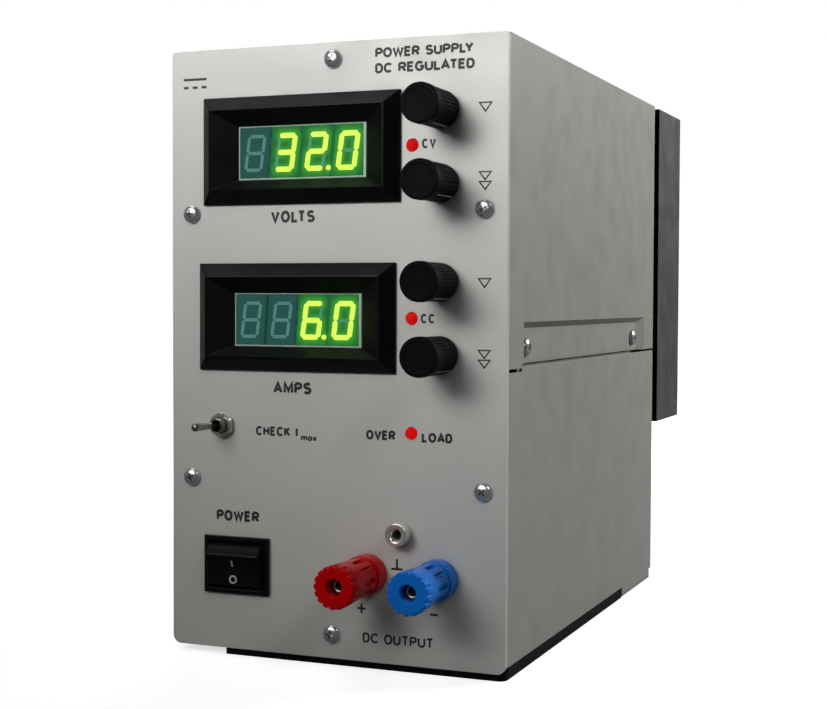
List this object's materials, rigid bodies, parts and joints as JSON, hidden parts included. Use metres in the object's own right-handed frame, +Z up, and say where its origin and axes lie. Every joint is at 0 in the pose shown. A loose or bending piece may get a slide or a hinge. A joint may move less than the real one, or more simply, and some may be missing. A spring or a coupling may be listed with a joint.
{
  "type": "bench power supply",
  "caption": "Upright bench power supply with two digital meters, turning knobs, toggle and rocker switches, binding posts, earth socket and a finned rear heat sink.",
  "frame": {"origin": "middle of the case footprint on the resting plane", "axes": "+X to the right seen from the front, +Y to the rear, +Z up"},
  "size_m": [0.161, 0.372, 0.273],
  "materials": {
    "panel_paint": "satin light-grey paint",
    "case_paint": "fine satin grey powder coat",
    "black_plastic": "fine-grained moulded black",
    "transistor_epoxy": "matte black moulding",
    "knob_plastic": "matte black",
    "heat_sink_anodised": "dark anodised extrusion",
    "meter_window": "dark green clear filter",
    "lamp_red": "red diffused lens, lit",
    "nickel": "bright nickel plate",
    "red_plastic": "semi-gloss red",
    "blue_plastic": "semi-gloss blue",
    "zinc": "bright zinc plate",
    "board": "green circuit board",
    "transformer_core": "tape-wrapped winding on an iron ring",
    "capacitor_sleeve": "shrink sleeve on an aluminium can"
  },
  "bodies": {
    "case": {"front_panel": "panel_paint", "top_cover": "case_paint", "base_shell": "case_paint", "rear_panel": "case_paint", "base_plinth": "black_plastic", "heat_sink_spacer": "black_plastic", "mains_inlet": "black_plastic", "fuse_holder": "black_plastic", "volts_bezel": "black_plastic", "amps_bezel": "black_plastic", "volts_meter_case": "black_plastic", "amps_meter_case": "black_plastic", "power_switch_housing": "black_plastic", "power_transistor_left": "transistor_epoxy", "power_transistor_right": "transistor_epoxy", "heat_sink": "heat_sink_anodised", "volts_window": "meter_window", "amps_window": "meter_window", "cv_led": "lamp_red", "cc_led": "lamp_red", "overload_led": "lamp_red", "toggle_switch_body": "nickel", "toggle_nut": "nickel", "earth_socket": "nickel", "red_post_stud": "nickel", "blue_post_stud": "nickel", "red_post_collar": "red_plastic", "blue_post_collar": "blue_plastic", "panel_screw_top": "zinc", "panel_screw_bottom": "zinc", "panel_screw_upper_left": "zinc", "panel_screw_upper_right": "zinc", "panel_screw_lower_left": "zinc", "panel_screw_lower_right": "zinc", "cover_screw_left_front": "zinc", "cover_screw_left_rear": "zinc", "cover_screw_right_front": "zinc", "cover_screw_right_rear": "zinc", "transformer_clamp_plate": "zinc", "transformer_bolt": "zinc", "control_board": "board", "regulator_board": "board", "transformer": "transformer_core", "smoothing_capacitor_left": "capacitor_sleeve", "smoothing_capacitor_right": "capacitor_sleeve"},
    "volts_fine_knob": {"volts_fine_knob": "knob_plastic", "volts_fine_shaft": "nickel"},
    "volts_coarse_knob": {"volts_coarse_knob": "knob_plastic", "volts_coarse_shaft": "nickel"},
    "amps_fine_knob": {"amps_fine_knob": "knob_plastic", "amps_fine_shaft": "nickel"},
    "amps_coarse_knob": {"amps_coarse_knob": "knob_plastic", "amps_coarse_shaft": "nickel"},
    "toggle_lever": {"toggle_lever": "nickel"},
    "power_rocker": {"power_rocker": "black_plastic"},
    "red_post_washer": {"red_post_washer": "nickel"},
    "red_post_cap": {"red_post_cap": "red_plastic"},
    "blue_post_washer": {"blue_post_washer": "nickel"},
    "blue_post_cap": {"blue_post_cap": "blue_plastic"},
    "fuse_cap": {"fuse_cap": "black_plastic"}
  },
  "joints": [
    {"name": "volts_fine_turn", "type": "hinge", "parent": "case", "child": "volts_fine_knob", "pos_m": [0.051, -0.133, 0.2415], "axis": [0, -1, 0], "range_deg": [-150, 150]},
    {"name": "volts_coarse_turn", "type": "hinge", "parent": "case", "child": "volts_coarse_knob", "pos_m": [0.051, -0.133, 0.2105], "axis": [0, -1, 0], "range_deg": [-150, 150]},
    {"name": "amps_fine_turn", "type": "hinge", "parent": "case", "child": "amps_fine_knob", "pos_m": [0.051, -0.133, 0.1687], "axis": [0, -1, 0], "range_deg": [-150, 150]},
    {"name": "amps_coarse_turn", "type": "hinge", "parent": "case", "child": "amps_coarse_knob", "pos_m": [0.051, -0.133, 0.1377], "axis": [0, -1, 0], "range_deg": [-150, 150]},
    {"name": "toggle_swing", "type": "hinge", "parent": "case", "child": "toggle_lever", "pos_m": [-0.0546, -0.1355, 0.1044], "axis": [0, 0, 1], "range_deg": [0, 24]},
    {"name": "power_tip", "type": "hinge", "parent": "case", "child": "power_rocker", "pos_m": [-0.047, -0.131, 0.0412], "axis": [-1, 0, 0], "range_deg": [0, 22]},
    {"name": "red_cap_travel", "type": "slide", "parent": "case", "child": "red_post_washer", "axis": [0, -1, 0], "range_m": [0, 0.004]},
    {"name": "red_cap_turn", "type": "hinge", "parent": "red_post_washer", "child": "red_post_cap", "pos_m": [0.0175, -0.133, 0.0418], "axis": [0, -1, 0], "range_deg": [0, 1440]},
    {"name": "blue_cap_travel", "type": "slide", "parent": "case", "child": "blue_post_washer", "axis": [0, -1, 0], "range_m": [0, 0.004]},
    {"name": "blue_cap_turn", "type": "hinge", "parent": "blue_post_washer", "child": "blue_post_cap", "pos_m": [0.0505, -0.133, 0.0418], "axis": [0, -1, 0], "range_deg": [0, 1440]},
    {"name": "fuse_cap_turn", "type": "hinge", "parent": "case", "child": "fuse_cap", "pos_m": [0.036, 0.1325, 0.048], "axis": [0, 1, 0], "range_deg": [-90, 0]}
  ],
  "couplings": [
    {"joint": "red_cap_travel", "follows": "red_cap_turn", "m_per_rad": 0.00015915},
    {"joint": "blue_cap_travel", "follows": "blue_cap_turn", "m_per_rad": 0.00015915}
  ]
}
